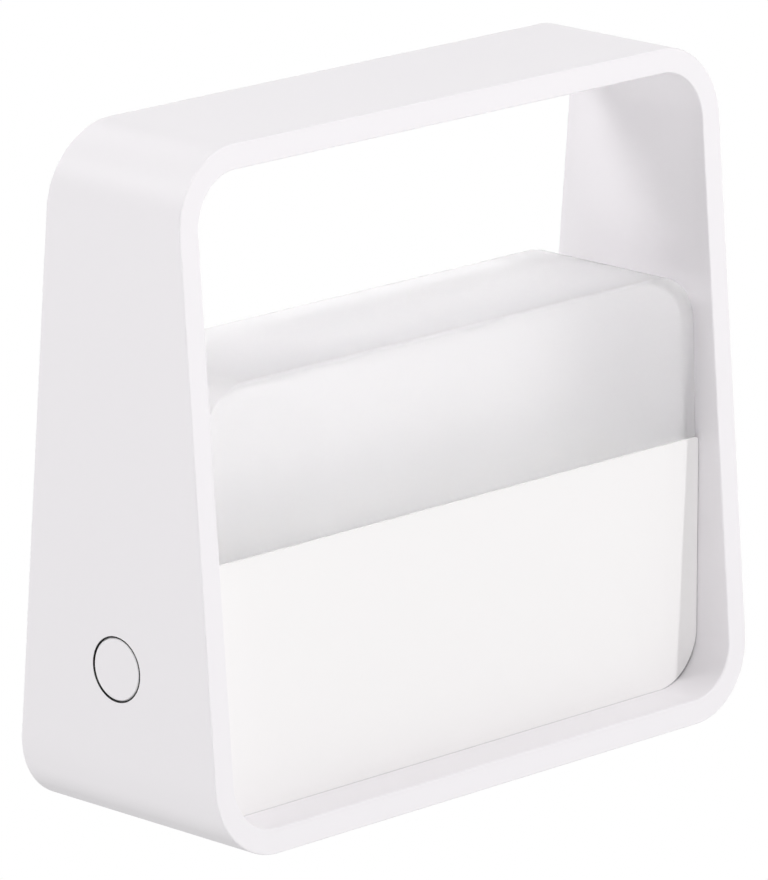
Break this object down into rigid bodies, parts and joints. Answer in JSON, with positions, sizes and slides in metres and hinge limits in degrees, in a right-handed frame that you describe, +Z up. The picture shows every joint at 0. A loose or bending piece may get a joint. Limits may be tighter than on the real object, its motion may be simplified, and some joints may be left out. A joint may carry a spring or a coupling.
{
  "type": "cordless table lamp",
  "caption": "Cordless table lamp: a tapered rounded frame forms the carrying handle around a battery body with a frosted light cap and a flush push button in the side.",
  "frame": {"origin": "on the table, under the middle of the frame, at the undersides of the feet", "axes": "+X along the width towards the lamp's right as seen from the front, +Y to the rear, +Z up"},
  "size_m": [0.24, 0.0904, 0.2206],
  "materials": {
    "frame_white": "satin white moulding with softened edges",
    "shell_white": "satin white moulding",
    "frosted_white": "frosted translucent white acrylic",
    "plain_aluminium": "plain rolled sheet",
    "board_white": "white solder mask on metal core",
    "phosphor": "phosphor under clear resin",
    "tray_white": "bright white reflector",
    "screw_steel": "zinc plated",
    "grey_rubber": "matte",
    "button_white": "satin white moulding",
    "black_rubber": "matte black silicone",
    "natural_plastic": "natural nylon",
    "black_plastic": "matte black",
    "board_green": "green solder mask",
    "cell_sleeve": "shrink sleeved cell, its density close to that of a lithium cell",
    "socket_steel": "bright nickel plated",
    "wire_red": "soft insulation",
    "wire_white": "soft insulation",
    "wire_grey": "soft insulation"
  },
  "bodies": {
    "lamp": {"frame_ring": "frame_white", "front_shell": "shell_white", "rear_shell": "shell_white", "light_cap": "frosted_white", "heat_plate": "plain_aluminium", "lamp_board": "board_white", "lamp_chips": "phosphor", "reflector_tray": "tray_white", "plate_screws": "screw_steel", "lead_grommet": "grey_rubber", "button_gasket": "black_rubber", "button_spring": "screw_steel", "switch_housing": "black_plastic", "switch_board": "board_green", "switch_connector": "natural_plastic", "battery_cradle": "black_plastic", "battery_cells": "cell_sleeve", "cell_links": "screw_steel", "battery_strap": "black_plastic", "strap_screws": "screw_steel", "main_board": "board_green", "board_chips": "black_plastic", "board_sockets": "natural_plastic", "board_screws": "screw_steel", "usb_socket": "socket_steel", "battery_lead": "wire_red", "lamp_lead": "wire_white", "switch_lead": "wire_grey", "frame_screws": "screw_steel", "foot_pads": "grey_rubber"},
    "button": {"button_cap": "button_white"},
    "pin": {"push_pin": "natural_plastic", "switch_actuator": "black_plastic"}
  },
  "joints": [
    {"name": "button_press", "type": "slide", "parent": "lamp", "child": "button", "axis": [1, 0, 0], "range_m": [0, 0.0012], "stiffness_N_per_m": 400, "springref_m": -0.002, "deforming": ["button_spring"]},
    {"name": "pin_press", "type": "slide", "parent": "lamp", "child": "pin", "axis": [1, 0, 0], "range_m": [0, 0.0012]}
  ],
  "couplings": [
    {"joint": "pin_press", "follows": "button_press", "ratio": 1}
  ]
}
